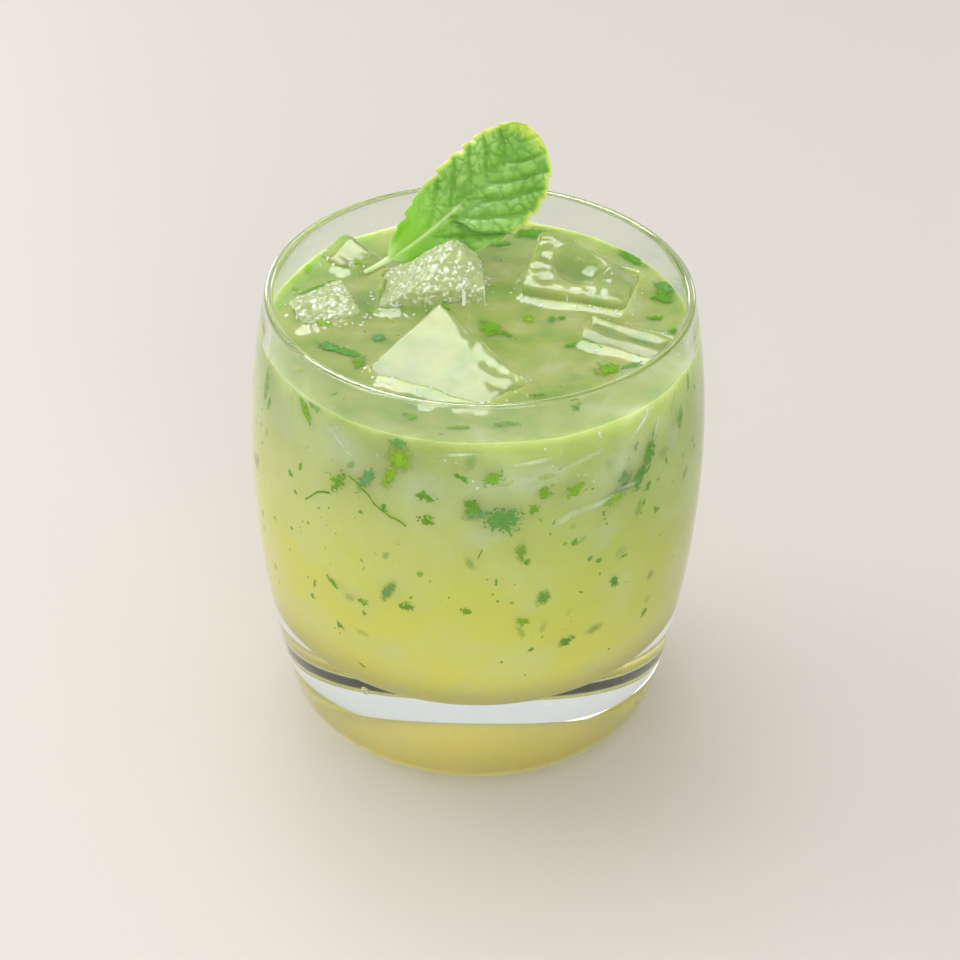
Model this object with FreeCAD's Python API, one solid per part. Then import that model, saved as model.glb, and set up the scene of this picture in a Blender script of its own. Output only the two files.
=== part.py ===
"""A mojito in a barrel-shaped whisky tumbler.

Built as the real drink is: a pressed glass with a thick dished base, the cloudy lime
drink that fills it, six lumps of ice that stand out of the drink, and one mint leaf
whose stalk is dipped in at the back.  Millimetres, +Z up, origin on the axis of the
glass at the plane of its foot.
"""
import FreeCAD
import Part
import math
import os

V = FreeCAD.Vector
AXIS = V(0, 0, 1)

# Glass
GLASS_H = 92.5          # foot to lip
GLASS_D = 88.0          # across the widest part of the belly
BELLY_Z = 57.0          # height of the widest part
LIP_IN = 3.6            # how far the lip draws in from the belly, each side
FOOT_IN = 13.0          # how far the flat foot draws in from the belly, each side
FOOT_CORNER = 7.0       # outer round between foot and side
WALL = 2.1              # side wall below the belly
LIP_WALL = 1.7          # wall at the lip, which is rounded over
BASE = 13.5             # glass under the middle of the drink
FLOOR_DISH = 60.0       # radius of the dished inner floor
FLOOR_CORNER = 12.0     # inner round between floor and side
RING_W = 4.0            # flat ring that the glass stands on
PUNT = 5.5              # domed hollow under the foot

# Drink
HEADROOM = 8.2          # lip down to the drink

# Ice.  The lumps are packed into the mouth, so their plan sizes and places are
# parts of its inner radius.  Heights are millimetres from the surface of the drink.
ICE_EDGE = 1.3          # melted round along the sides of a lump
ICE_DEPTH = 17.0        # how far a lump reaches under the surface
ICE_TAPER = 0.88        # lower end of a lump against its upper end
ICE_DENT = 7.0          # radius of the dent in the hollow lump
ICE_DENT_SINK = 3.2     # depth of that dent

# One row per lump: name, centre, length and width, turn (deg), and its top faces, each
# as the way it falls (deg round +Z), its slope (deg) and its height over the centre.
ICE = [
    ("ice_front", (-0.152, -0.482), (0.64, 0.49), -47.0,
     [(-117.0, 21.6, 2.2), (-71.0, 14.0, 3.6)]),
    ("ice_centre", (-0.250, 0.312), (0.56, 0.43), 8.0,
     [(-75.0, 24.0, 7.7), (170.0, 28.0, 5.7), (100.0, 52.0, 10.0), (20.0, 35.0, 11.0)]),
    ("ice_left", (-0.750, 0.095), (0.31, 0.29), 24.0,
     [(-60.0, 16.0, 2.9), (150.0, 22.0, 3.6)]),
    ("ice_back_left", (-0.663, 0.562), (0.20, 0.22), 50.0,
     [(-90.0, 14.0, 2.2)]),
    ("ice_right", (0.495, 0.362), (0.55, 0.42), -15.0,
     [(-100.0, 13.0, 4.6), (30.0, 30.0, 7.0)]),
    ("ice_slab", (0.690, -0.150), (0.44, 0.22), -24.0,
     [(-60.0, 5.0, 1.4)]),
]

# Mint leaf.  It starts at the end of the stalk, and its line is walked in short steps
# whose heading (deg round +Z) and climb (deg) change evenly between these values.
STALK_AT = (-0.565, 0.440)      # end of the stalk, as parts of the mouth's radius
STALK_RISE = 0.4                # its centre line over the drink
STALK_LEN = 6.0
STALK_R = 1.0
BLADE_LEN = 38.0
BLADE_LEFT = 8.3                # widest reach of the blade on each side of its midrib
BLADE_RIGHT = 12.0
BLADE_T = 0.8
FILL_LEFT = 1.15                # how late each side of the blade widens, so how blunt its tip is
FILL_RIGHT = 1.7
BLADE_TURN = 60.0               # how far the blade is rolled to face forward
BLADE_FOLD = 8.0                # how far each half rises from flat at the midrib
TEETH = 9                       # teeth along each edge
TOOTH = 0.9
HEADING = (44.0, 26.0, 6.0)     # at the stalk's end, the blade's base and the tip
CLIMB = (0.0, 22.0, 60.0)
STALK_STEPS = 8
TOOTH_STEPS = 4


# Profiles of the glass, as points (r, z) in the half plane through the axis

def on_circle(centre, radius, angle):
    return V(centre[0] + radius * math.cos(angle), 0, centre[1] + radius * math.sin(angle))


def arc(centre, radius, start, end):
    """Arc between two angles in the XZ plane."""
    middle = (start + end) / 2
    points = [on_circle(centre, radius, a) for a in (start, middle, end)]
    return Part.Arc(*points).toShape()


def angle_from(centre, point):
    return math.atan2(point[1] - centre[1], point[0] - centre[0])


def line(a, b):
    return Part.makeLine(V(a[0], 0, a[1]), V(b[0], 0, b[1]))


def belly_arc(r_wide, r_end, rise):
    """Centre and radius of an arc that is upright at r_wide and passes r_end."""
    draw = r_wide - r_end
    radius = (draw ** 2 + rise ** 2) / (2 * draw)
    return (r_wide - radius, BELLY_Z), radius


def meet(c1, r1, c2, r2):
    """The outer of the two points where two circles cross."""
    dx, dz = c2[0] - c1[0], c2[1] - c1[1]
    apart = math.hypot(dx, dz)
    along = (apart ** 2 + r1 ** 2 - r2 ** 2) / (2 * apart)
    off = math.sqrt(r1 ** 2 - along ** 2)
    middle = (c1[0] + along * dx / apart, c1[1] + along * dz / apart)
    both = [(middle[0] + s * off * dz / apart, middle[1] - s * off * dx / apart) for s in (1, -1)]
    return max(both)


belly_r = GLASS_D / 2
lip_r = belly_r - LIP_IN
foot_r = belly_r - FOOT_IN
level = GLASS_H - HEADROOM
lip_round = LIP_WALL / 2
lip_z = GLASS_H - lip_round

# Side arcs.  The lower one is shared by both faces of the wall, one WALL apart.
upper_c, upper_r = belly_arc(belly_r, lip_r, lip_z - BELLY_Z)
inner_upper_c, inner_upper_r = belly_arc(belly_r - WALL, lip_r - LIP_WALL, lip_z - BELLY_Z)
reach = foot_r - belly_r
drop = BELLY_Z - FOOT_CORNER
lower_r = (reach ** 2 + drop ** 2 - FOOT_CORNER ** 2) / (2 * (-reach - FOOT_CORNER))
lower_c = (belly_r - lower_r, BELLY_Z)
inner_lower_r = lower_r - WALL

# Round corners, outside at the foot and inside at the floor
foot_c = (foot_r, FOOT_CORNER)
foot_turn = angle_from(lower_c, foot_c)
dish_c = (0.0, BASE + FLOOR_DISH)
corner_c = meet(lower_c, inner_lower_r - FLOOR_CORNER, dish_c, FLOOR_DISH - FLOOR_CORNER)
corner_side = angle_from(lower_c, corner_c)
corner_floor = angle_from(dish_c, corner_c)

ring_in = foot_r - RING_W
punt_r = (ring_in ** 2 + PUNT ** 2) / (2 * PUNT)
punt_c = (0.0, PUNT - punt_r)


def inner_edges(top_z):
    """Inner face of the glass from the middle of its floor up to top_z."""
    return [
        arc(dish_c, FLOOR_DISH, -math.pi / 2, corner_floor),
        arc(corner_c, FLOOR_CORNER, corner_floor, corner_side),
        arc(lower_c, inner_lower_r, corner_side, 0),
        arc(inner_upper_c, inner_upper_r, 0, math.asin((top_z - BELLY_Z) / inner_upper_r)),
    ]


def inner_radius(z):
    """Inner radius of the glass at a height above the belly."""
    return inner_upper_c[0] + math.sqrt(inner_upper_r ** 2 - (z - BELLY_Z) ** 2)


def revolved(edges):
    """Solid of revolution about the axis from a closed profile."""
    wire = Part.Wire(Part.__sortEdges__(edges))
    return Part.Face(wire).revolve(V(0, 0, 0), AXIS, 360)


def make_glass():
    lip_c = (lip_r - lip_round, lip_z)
    outside = [
        arc(punt_c, punt_r, math.pi / 2, angle_from(punt_c, (ring_in, 0.0))),
        line((ring_in, 0), (foot_r, 0)),
        arc(foot_c, FOOT_CORNER, -math.pi / 2, foot_turn),
        arc(lower_c, lower_r, foot_turn, 0),
        arc(upper_c, upper_r, 0, math.asin((lip_z - BELLY_Z) / upper_r)),
        arc(lip_c, lip_round, 0, math.pi),
    ]
    return revolved(outside + inner_edges(lip_z) + [line((0, PUNT), (0, BASE))])


def make_drink():
    surface = line((inner_radius(level), level), (0, level))
    return revolved(inner_edges(level) + [surface, line((0, level), (0, BASE))])


# Ice

def rectangle(length, width, z):
    x, y = length / 2, width / 2
    corners = [V(-x, -y, z), V(x, -y, z), V(x, y, z), V(-x, y, z), V(-x, -y, z)]
    return Part.makePolygon(corners)


def above_plane(size, falls, slope, height):
    """Block that fills the space over a plane through (0, 0, height)."""
    block = Part.makeBox(2 * size, 2 * size, size, V(-size, -size, 0))
    block.rotate(V(0, 0, 0), V(0, 1, 0), slope)
    block.rotate(V(0, 0, 0), AXIS, falls)
    block.translate(V(0, 0, height))
    return block


def make_lump(mouth_r, spot, plan, turn, tops):
    """Tapered block of ice with melted edges and cracked, sloping top faces."""
    length, width = plan[0] * mouth_r, plan[1] * mouth_r
    crown = 2 * HEADROOM
    lower = rectangle(length * ICE_TAPER, width * ICE_TAPER, -ICE_DEPTH)
    upper = rectangle(length, width, crown)
    lump = Part.makeLoft([lower, upper], True, True)
    lump = lump.makeFillet(ICE_EDGE, lump.Edges)
    lump.rotate(V(0, 0, 0), AXIS, turn)
    for falls, slope, height in tops:
        lump = lump.cut(above_plane(length + crown, falls, slope, height))
    lump.translate(V(spot[0] * mouth_r, spot[1] * mouth_r, level))
    return lump


def make_dent(mouth_r, spot, height):
    """Ball that melts the thumb-shaped dent into the hollow lump."""
    centre = V(spot[0] * mouth_r, spot[1] * mouth_r, level + height + ICE_DENT - ICE_DENT_SINK)
    return Part.makeSphere(ICE_DENT, centre)


# Mint leaf

def blend(values, t):
    """Value at t, 0 at the stalk's end, 1 at the blade's base and 2 at the tip."""
    first = min(int(t), 1)
    return values[first] + (values[first + 1] - values[first]) * (t - first)


def half_width(reach_to, fill, t):
    """Half width of the blade at t from its base to its tip, with its teeth."""
    plain = reach_to * max(math.sin(math.pi * t ** fill), 0.0) ** 0.45
    tooth = TOOTH * ((t * TEETH) % 1.0) * math.sin(math.pi * t)
    return max(plain - tooth, STALK_R * (1.1 - t))


def leaf_sections(mouth_r):
    """Closed cross sections of stalk and blade along the leaf's line."""
    blade_steps = TEETH * TOOTH_STEPS
    stations = [i / STALK_STEPS for i in range(STALK_STEPS)]
    stations += [1 + i / blade_steps for i in range(blade_steps + 1)]
    place = V(STALK_AT[0] * mouth_r, STALK_AT[1] * mouth_r, level + STALK_RISE)
    sections = []
    before = 0.0
    for t in stations:
        heading, climb = math.radians(blend(HEADING, t)), math.radians(blend(CLIMB, t))
        ahead = V(math.cos(heading) * math.cos(climb), math.sin(heading) * math.cos(climb), math.sin(climb))
        step = (t - before) * (STALK_LEN if t <= 1 else BLADE_LEN)
        place = place + ahead * step
        before = t
        side = V(math.sin(heading), -math.cos(heading), 0)
        up = side.cross(ahead)
        turn = math.radians(BLADE_TURN) * min(t, 1)
        right = side * math.cos(turn) - up * math.sin(turn)
        face = right.cross(ahead)
        if t < 1:
            left_w = right_w = STALK_R
            thick = 2 * STALK_R * 0.8
        else:
            left_w = half_width(BLADE_LEFT, FILL_LEFT, t - 1)
            right_w = half_width(BLADE_RIGHT, FILL_RIGHT, t - 1)
            thick = BLADE_T + (2 * STALK_R * 0.8 - BLADE_T) * max(1 - 3 * (t - 1), 0)
        rise = math.tan(math.radians(BLADE_FOLD)) * min(max(t - 1, 0) * 4, 1)
        rim = 0.25 * thick
        ring = []
        for share, skin in ((-1, rim), (-0.5, thick / 2), (0, thick / 2), (0.5, thick / 2), (1, rim),
                            (1, -rim), (0.5, -thick / 2), (0, -thick / 2), (-0.5, -thick / 2), (-1, -rim)):
            across = share * (right_w if share > 0 else left_w)
            ring.append(place + right * across + face * (rise * abs(across) + skin))
        sections.append(ring)
    return sections


def triangle(a, b, c):
    return Part.Face(Part.makePolygon([a, b, c, a]))


def make_leaf(mouth_r):
    """Solid skinned over the leaf's cross sections, with a fan over each end."""
    sections = leaf_sections(mouth_r)
    count = len(sections[0])
    faces = []
    for here, ahead in zip(sections, sections[1:]):
        for i in range(count):
            j = (i + 1) % count
            faces.append(triangle(here[i], here[j], ahead[j]))
            faces.append(triangle(here[i], ahead[j], ahead[i]))
    for ring in (sections[0], sections[-1]):
        faces += [triangle(ring[0], ring[i], ring[i + 1]) for i in range(1, count - 1)]
    shell = Part.Shell(faces)
    leaf = Part.Solid(shell)
    if leaf.Volume < 0:
        leaf.reverse()
    return leaf


# The whole

def write(shape, name):
    shape.exportStep(os.path.join("parts", name + ".step"))


os.makedirs("parts", exist_ok=True)
mouth_r = inner_radius(level)
leaf = make_leaf(mouth_r)
drink = make_drink()
for name, spot, plan, turn, tops in ICE:
    lump = make_lump(mouth_r, spot, plan, turn, tops)
    drink = drink.cut(lump)
    if name == "ice_right":
        lump = lump.cut(make_dent(mouth_r, spot, tops[0][2]))
    write(lump, name)
write(drink.cut(leaf), "drink")
write(leaf, "mint_leaf")
write(make_glass(), "glass")
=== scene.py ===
import math
import random

import bmesh
import bpy
from mathutils import Matrix, Vector, kdtree, noise
from mathutils.bvhtree import BVHTree


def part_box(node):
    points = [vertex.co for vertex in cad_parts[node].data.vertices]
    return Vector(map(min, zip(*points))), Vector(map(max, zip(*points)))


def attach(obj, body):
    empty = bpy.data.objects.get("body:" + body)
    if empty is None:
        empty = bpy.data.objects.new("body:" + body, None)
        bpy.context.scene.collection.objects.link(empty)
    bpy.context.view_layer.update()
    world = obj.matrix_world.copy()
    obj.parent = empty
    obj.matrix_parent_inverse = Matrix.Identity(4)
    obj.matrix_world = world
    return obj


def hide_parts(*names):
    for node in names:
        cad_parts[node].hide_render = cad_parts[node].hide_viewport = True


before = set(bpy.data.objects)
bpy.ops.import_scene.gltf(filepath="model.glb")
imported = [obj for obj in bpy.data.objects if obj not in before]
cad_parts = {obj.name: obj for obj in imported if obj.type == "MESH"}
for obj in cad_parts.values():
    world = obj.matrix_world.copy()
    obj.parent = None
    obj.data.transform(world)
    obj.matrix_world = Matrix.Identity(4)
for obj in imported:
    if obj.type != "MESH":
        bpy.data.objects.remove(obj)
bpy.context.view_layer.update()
MM = 0.001

# Tumbler.
# A barrel-shaped whisky glass of clear soda-lime glass, pressed with a thick dished base
# and fire-polished, so both faces of its wall run smooth into a rounded lip.

foot, top_of_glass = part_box("glass")
GLASS_H = top_of_glass.z - foot.z
BELLY_R = (top_of_glass.x - foot.x) / 2
BELLY_Z = 57.0 * MM
LIP_IN = 3.6 * MM
FOOT_IN = 13.0 * MM
FOOT_CORNER = 7.0 * MM
WALL = 2.1 * MM
LIP_WALL = 1.7 * MM
BASE = 13.5 * MM
FLOOR_DISH = 60.0 * MM
FLOOR_CORNER = 12.0 * MM
RING_W = 4.0 * MM
PUNT = 5.5 * MM
GLASS_TURN_STEPS = 288
MIRRORED_MOST = 3.5


def linear(hex_colour):
    """sRGB hex colour as the linear RGBA that a shader takes."""
    parts = [int(hex_colour[i:i + 2], 16) / 255 for i in (1, 3, 5)]
    return [c / 12.92 if c < 0.04045 else ((c + 0.055) / 1.055) ** 2.4 for c in parts] + [1.0]


def put(material, kind, inputs=None, stops=None, **settings):
    """Adds a shader node.  An input takes a hex colour, a value, or another node to link."""
    made = material.node_tree.nodes.new("ShaderNode" + kind)
    for name, value in settings.items():
        setattr(made, name, value)
    for name, value in (inputs or {}).items():
        if isinstance(value, bpy.types.Node):
            value = value.outputs[0]
        if isinstance(value, bpy.types.NodeSocket):
            material.node_tree.links.new(value, made.inputs[name])
        else:
            made.inputs[name].default_value = linear(value) if isinstance(value, str) else value
    for i, (place, colour) in enumerate(stops or []):
        stop = made.color_ramp.elements[i] if i < 2 else made.color_ramp.elements.new(place)
        stop.position = place
        stop.color = linear(colour)
    return made


def new_material(name):
    material = bpy.data.materials.new(name)
    material.use_nodes = True
    material.node_tree.nodes.clear()
    return material


def clear_body(material, surface, shadow_tint):
    """Output of a see-through material, whose shadow is a light tint and not black."""
    path = put(material, "LightPath")
    shadow = put(material, "BsdfTransparent", {"Color": shadow_tint})
    both = put(material, "MixShader", {0: path.outputs["Is Shadow Ray"], 1: surface, 2: shadow})
    put(material, "OutputMaterial", {"Surface": both})


def arc(centre, radius, start, end, steps):
    """Points along an arc in the (r, z) plane, without its last point."""
    angles = [start + (end - start) * i / steps for i in range(steps)]
    return [(centre[0] + radius * math.cos(a), centre[1] + radius * math.sin(a)) for a in angles]


def angle_from(centre, point):
    return math.atan2(point[1] - centre[1], point[0] - centre[0])


def belly_arc(r_wide, r_end, rise):
    """Centre and radius of an arc that is upright at r_wide and passes r_end."""
    draw = r_wide - r_end
    radius = (draw ** 2 + rise ** 2) / (2 * draw)
    return (r_wide - radius, BELLY_Z), radius


def meet(c1, r1, c2, r2):
    """The outer of the two points where two circles cross."""
    dx, dz = c2[0] - c1[0], c2[1] - c1[1]
    apart = math.hypot(dx, dz)
    along = (apart ** 2 + r1 ** 2 - r2 ** 2) / (2 * apart)
    off = math.sqrt(r1 ** 2 - along ** 2)
    middle = (c1[0] + along * dx / apart, c1[1] + along * dz / apart)
    return max((middle[0] + s * off * dz / apart, middle[1] - s * off * dx / apart) for s in (1, -1))


lip_r = BELLY_R - LIP_IN
foot_r = BELLY_R - FOOT_IN
lip_round = LIP_WALL / 2
lip_z = GLASS_H - lip_round
upper_c, upper_r = belly_arc(BELLY_R, lip_r, lip_z - BELLY_Z)
inner_c, inner_r = belly_arc(BELLY_R - WALL, lip_r - LIP_WALL, lip_z - BELLY_Z)
drop = BELLY_Z - FOOT_CORNER
lower_r = (FOOT_IN ** 2 + drop ** 2 - FOOT_CORNER ** 2) / (2 * (FOOT_IN - FOOT_CORNER))
lower_c = (BELLY_R - lower_r, BELLY_Z)
foot_c = (foot_r, FOOT_CORNER)
dish_c = (0.0, BASE + FLOOR_DISH)
corner_c = meet(lower_c, lower_r - WALL - FLOOR_CORNER, dish_c, FLOOR_DISH - FLOOR_CORNER)
ring_in = foot_r - RING_W
punt_r = (ring_in ** 2 + PUNT ** 2) / (2 * PUNT)
punt_c = (0.0, PUNT - punt_r)


def inner_profile(top_z, into_wall=0.0):
    """Inner face of the glass, from the middle of its floor up to top_z."""
    on_floor, on_side = angle_from(dish_c, corner_c), angle_from(lower_c, corner_c)
    end = math.asin((top_z - BELLY_Z) / (inner_r + into_wall))
    return (arc(dish_c, FLOOR_DISH + into_wall, -math.pi / 2, on_floor, 24)
            + arc(corner_c, FLOOR_CORNER + into_wall, on_floor, on_side, 16)
            + arc(lower_c, lower_r - WALL + into_wall, on_side, 0, 24)
            + arc(inner_c, inner_r + into_wall, 0, end, 24)
            + [(inner_c[0] + (inner_r + into_wall) * math.cos(end), top_z)])


def new_piece(name, vertices, faces, materials, smooth=True):
    """Mesh object from plain lists, added to the scene."""
    mesh = bpy.data.meshes.new(name)
    mesh.from_pydata([tuple(v) for v in vertices], [], [tuple(f) for f in faces])
    for material in materials:
        mesh.materials.append(material)
    mesh.polygons.foreach_set("use_smooth", [smooth] * len(mesh.polygons))
    mesh.validate()
    mesh.update()
    piece = bpy.data.objects.new(name, mesh)
    bpy.context.scene.collection.objects.link(piece)
    return piece


def lathe(profile, steps):
    """Vertices and faces of a closed body turned from a profile that starts and ends on the axis."""
    ring = profile[1:-1]
    vertices = [(0, 0, profile[0][1])]
    for r, z in ring:
        for k in range(steps):
            a = 2 * math.pi * k / steps
            vertices.append((r * math.cos(a), r * math.sin(a), z))
    vertices.append((0, 0, profile[-1][1]))
    last = len(vertices) - 1
    faces = []
    for k in range(steps):
        n = (k + 1) % steps
        faces.append((0, 1 + n, 1 + k))
        for row in range(len(ring) - 1):
            a, b = 1 + row * steps, 1 + (row + 1) * steps
            faces.append((a + k, a + n, b + n, b + k))
        b = 1 + (len(ring) - 1) * steps
        faces.append((b + k, b + n, last))
    return vertices, faces


# Soda-lime glass, fire-polished: no colour of its own but a trace of green in the
# thick base, and a mirror-smooth skin.
soda_lime = new_material("soda_lime_glass")
melt = put(soda_lime, "BsdfPrincipled", {
    "Base Color": "#F7FBF8", "Roughness": 0.0, "IOR": 1.52, "Transmission Weight": 1.0})
# Light that is mirrored more than a few times between the faces of the lip and the base
# is replaced by a painted glow in the pale green that is seen in a thick edge.
mirrored = put(soda_lime, "LightPath").outputs["Glossy Depth"]
caught = put(soda_lime, "Math", {0: mirrored, 1: MIRRORED_MOST}, operation="GREATER_THAN")
painted_edge_glow = put(soda_lime, "Emission", {"Color": "#C3CBA6", "Strength": 0.8})
guiding = put(soda_lime, "MixShader", {0: caught, 1: melt, 2: painted_edge_glow})
soda_lime.cycles.emission_sampling = "NONE"
clear_body(soda_lime, guiding, "#EEF4EF")

outside = (arc(punt_c, punt_r, math.pi / 2, angle_from(punt_c, (ring_in, 0)), 20)
           + [(ring_in, 0), (foot_r, 0)]
           + arc(foot_c, FOOT_CORNER, -math.pi / 2, angle_from(lower_c, foot_c), 16)[1:]
           + arc(lower_c, lower_r, angle_from(lower_c, foot_c), 0, 32)
           + arc(upper_c, upper_r, 0, math.asin((lip_z - BELLY_Z) / upper_r), 28)
           + arc((lip_r - lip_round, lip_z), lip_round, 0, math.pi, 14))
tumbler = new_piece("tumbler", *lathe(outside + inner_profile(lip_z)[::-1], GLASS_TURN_STEPS),
                    [soda_lime])
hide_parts("glass")
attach(tumbler, "root")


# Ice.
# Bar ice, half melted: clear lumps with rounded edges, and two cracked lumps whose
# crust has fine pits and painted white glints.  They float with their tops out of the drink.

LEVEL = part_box("drink")[1].z
MELT_GAP = 7 * MM
RIPPLE_GAP = 2.2 * MM
RIDGE_GAP = 4.4 * MM
RIDGE_WAY = (0.41, 0.91)
PIT_GAP = 1.1 * MM
GRAIN_GAP = 0.5 * MM
PEAK_W = 8 * MM
CLEAR_CELL = 0.45 * MM
CLEAR_RIPPLE = 0.12 * MM
CRUST_CELL = 0.32 * MM
CRUST_SWELL = 0.8 * MM
CRUST_RIPPLE = 0.15 * MM
CRUST_PITS = 0.55 * MM


def ice_mesh(node, cell, swell, ripple, pits, seed, ridge=0.0, peak=None):
    """Fine mesh over a lump: melted swells, ripples, long ridges, sharp pits and a peak."""
    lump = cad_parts[node].data.copy()
    piece = bpy.data.objects.new(node + "_lump", lump)
    bpy.context.scene.collection.objects.link(piece)
    for kind, settings in (("REMESH", {"mode": "VOXEL", "voxel_size": cell}),
                           ("SMOOTH", {"factor": 0.5, "iterations": 6})):
        modifier = piece.modifiers.new(kind.lower(), kind)
        for name, value in settings.items():
            setattr(modifier, name, value)
    bpy.context.view_layer.update()
    shaped = bpy.data.meshes.new_from_object(piece.evaluated_get(bpy.context.evaluated_depsgraph_get()))
    bpy.data.objects.remove(piece)
    offset = Vector((seed, seed * 0.7, seed * 1.3))
    places = [v.co.copy() for v in shaped.vertices]
    ways = [v.normal.copy() for v in shaped.vertices]
    for vertex, place, way in zip(shaped.vertices, places, ways):
        push = swell * (noise.noise(place / MELT_GAP + offset) - 0.3)
        push += ripple * noise.noise(place / RIPPLE_GAP + offset)
        across = RIDGE_WAY[0] * place.x + RIDGE_WAY[1] * place.y + 0.8 * push
        push += ridge * math.cos(2 * math.pi * across / RIDGE_GAP)
        if pits:
            to_pit = noise.voronoi(place / PIT_GAP + offset)[0][0]
            push -= pits * max(0.0, 0.75 - to_pit) + 0.4 * pits * noise.noise(place / GRAIN_GAP)
        vertex.co = place + way * push
        if peak and place.z > LEVEL:
            away = math.hypot(place.x - peak[0], place.y - peak[1])
            vertex.co.z += peak[2] * math.exp(-(away / PEAK_W) ** 2) * min((place.z - LEVEL) / (4 * MM), 1)
    shaped.update()
    return shaped


def ice_piece(node, mesh, material):
    mesh.materials.clear()
    mesh.materials.append(material)
    mesh.polygons.foreach_set("use_smooth", [True] * len(mesh.polygons))
    piece = bpy.data.objects.new(node + "_wet", mesh)
    bpy.context.scene.collection.objects.link(piece)
    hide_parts(node)
    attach(piece, "root")
    return piece


# Clear ice: wet and water-clear at the skin, with the cloudy drink soaked in below, so
# it takes the drink's green and mirrors the light above it in one sheet.
clear_ice = new_material("clear_wet_ice")
place = put(clear_ice, "TexCoord").outputs["Object"]
clouds = put(clear_ice, "TexNoise", {"Vector": place, "Scale": 150.0, "Detail": 3.0})
inner_green = put(clear_ice, "ValToRGB", {0: clouds}, stops=[
    (0.35, "#9AB670"), (0.5, "#B9C47E"), (0.65, "#C6CA80")])
melt = put(clear_ice, "BsdfPrincipled", {
    "Base Color": "#F2F7EA", "Roughness": 0.02, "IOR": 1.31, "Transmission Weight": 1.0})
soaked = put(clear_ice, "BsdfPrincipled", {
    "Base Color": inner_green, "Roughness": 0.02, "IOR": 1.31, "Subsurface Weight": 1.0,
    "Subsurface Radius": (5 * MM, 6 * MM, 3 * MM), "Subsurface Scale": 1.0})
both = put(clear_ice, "MixShader", {0: 0.4, 1: melt, 2: soaked})
clear_body(clear_ice, both, "#E6F0E2")

# Cracked ice: full of fine cracks and air under a crust of small broken faces, whose glints
# are painted on as white specks; between them it takes the drink's green.
crusted_ice = new_material("crusted_ice_painted_glints")
place = put(crusted_ice, "TexCoord").outputs["Object"]
bends = put(crusted_ice, "TexNoise", {"Vector": place, "Scale": 700.0, "Detail": 2.0})
shifted = put(crusted_ice, "MixRGB", {0: 0.0018, 1: place, 2: bends.outputs["Color"]})
grains = put(crusted_ice, "TexVoronoi", {"Vector": shifted, "Scale": 900.0, "Randomness": 1.0})
# Painted highlights: white specks where the broken faces would glint, gathered in drifts.
painted_glint_spots = put(crusted_ice, "MapRange", {0: grains, 1: 0.42, 2: 0.30, 3: 0.0, 4: 1.0})
drifts = put(crusted_ice, "TexNoise", {"Vector": place, "Scale": 260.0, "Detail": 3.0})
where = put(crusted_ice, "MapRange", {0: drifts, 1: 0.38, 2: 0.55, 3: 0.15, 4: 1.0})
white = put(crusted_ice, "Math", {0: painted_glint_spots, 1: where}, operation="MULTIPLY")
skin = put(crusted_ice, "MixRGB", {0: white, 1: "#BCC88C", 2: "#FAFCF2"})
crust = put(crusted_ice, "BsdfPrincipled", {
    "Base Color": skin, "Roughness": 0.15, "IOR": 1.31,
    "Subsurface Weight": 0.5, "Subsurface Radius": (2 * MM, 2.5 * MM, 1.5 * MM), "Subsurface Scale": 1.0})
melt = put(crusted_ice, "BsdfPrincipled", {
    "Base Color": "#E9F2DA", "Roughness": 0.08, "IOR": 1.31, "Transmission Weight": 1.0})
both = put(crusted_ice, "MixShader", {0: 0.8, 1: melt, 2: crust})
clear_body(crusted_ice, both, "#C9D6B4")

# Clear lumps: melted swell and ridge (mm) and the seed of their noise.
CLEAR_LUMPS = {"ice_front": (0.45, 0.0, 3.1), "ice_right": (0.25, 0.0, 7.7),
               "ice_back_left": (0.9, 0.0, 5.2), "ice_slab": (0.5, 0.3, 9.4)}
# Cracked lumps: the seed, and where the crust rises to a peak (x, y) and by how much.
CRUSTED_LUMPS = {"ice_centre": (2.3, (-4.5 * MM, 15.0 * MM, 2.8 * MM)), "ice_left": (6.1, None)}
lumps = {}
for node, (swell, ridge, seed) in CLEAR_LUMPS.items():
    mesh = ice_mesh(node, CLEAR_CELL, swell * MM, CLEAR_RIPPLE, 0, seed, ridge * MM)
    lumps[node] = ice_piece(node, mesh, clear_ice)
for node, (seed, peak) in CRUSTED_LUMPS.items():
    mesh = ice_mesh(node, CRUST_CELL, CRUST_SWELL, CRUST_RIPPLE, CRUST_PITS, seed, peak=peak)
    lumps[node] = ice_piece(node, mesh, crusted_ice)


# Drink.
# Lime juice, soda and bruised mint: cloudy, so light goes a few millimetres in and
# comes out soft.  It wets the glass and climbs a little at the wall and at the ice.

INTO_WALL = 0.05 * MM
MENISCUS = 0.35 * MM
MENISCUS_W = 1.0 * MM
ICE_CLIMB = 1.1 * MM
ICE_CLIMB_W = 1.7 * MM
POCKET = 5.0 * MM
POCKET_W = 3 * MM
NEAR_ICE = 14 * MM
SURFACE_SWELL = 0.35 * MM
SURFACE_RIPPLE = 0.1 * MM
MOST_CROSSINGS = 9
MOST_WET_EDGES = 200000
RING_CROWDING = 1.15
DRINK_STEPS = 360
SURFACE_RINGS = 96

inner = inner_profile(LEVEL, INTO_WALL)
drink_r = inner[-1][0]
wet_edges = kdtree.KDTree(MOST_WET_EDGES)
edge_count = 0
trees = {}
for node, piece in lumps.items():
    shape = bmesh.new()
    shape.from_mesh(piece.data)
    trees[node] = BVHTree.FromBMesh(shape)
    cut = bmesh.ops.bisect_plane(shape, geom=shape.verts[:] + shape.edges[:] + shape.faces[:],
                                 plane_co=(0, 0, LEVEL), plane_no=(0, 0, 1))
    for part in cut["geom_cut"]:
        if isinstance(part, bmesh.types.BMVert):
            wet_edges.insert((part.co.x, part.co.y, 0), edge_count)
            edge_count += 1
    shape.free()
wet_edges.balance()


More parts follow.
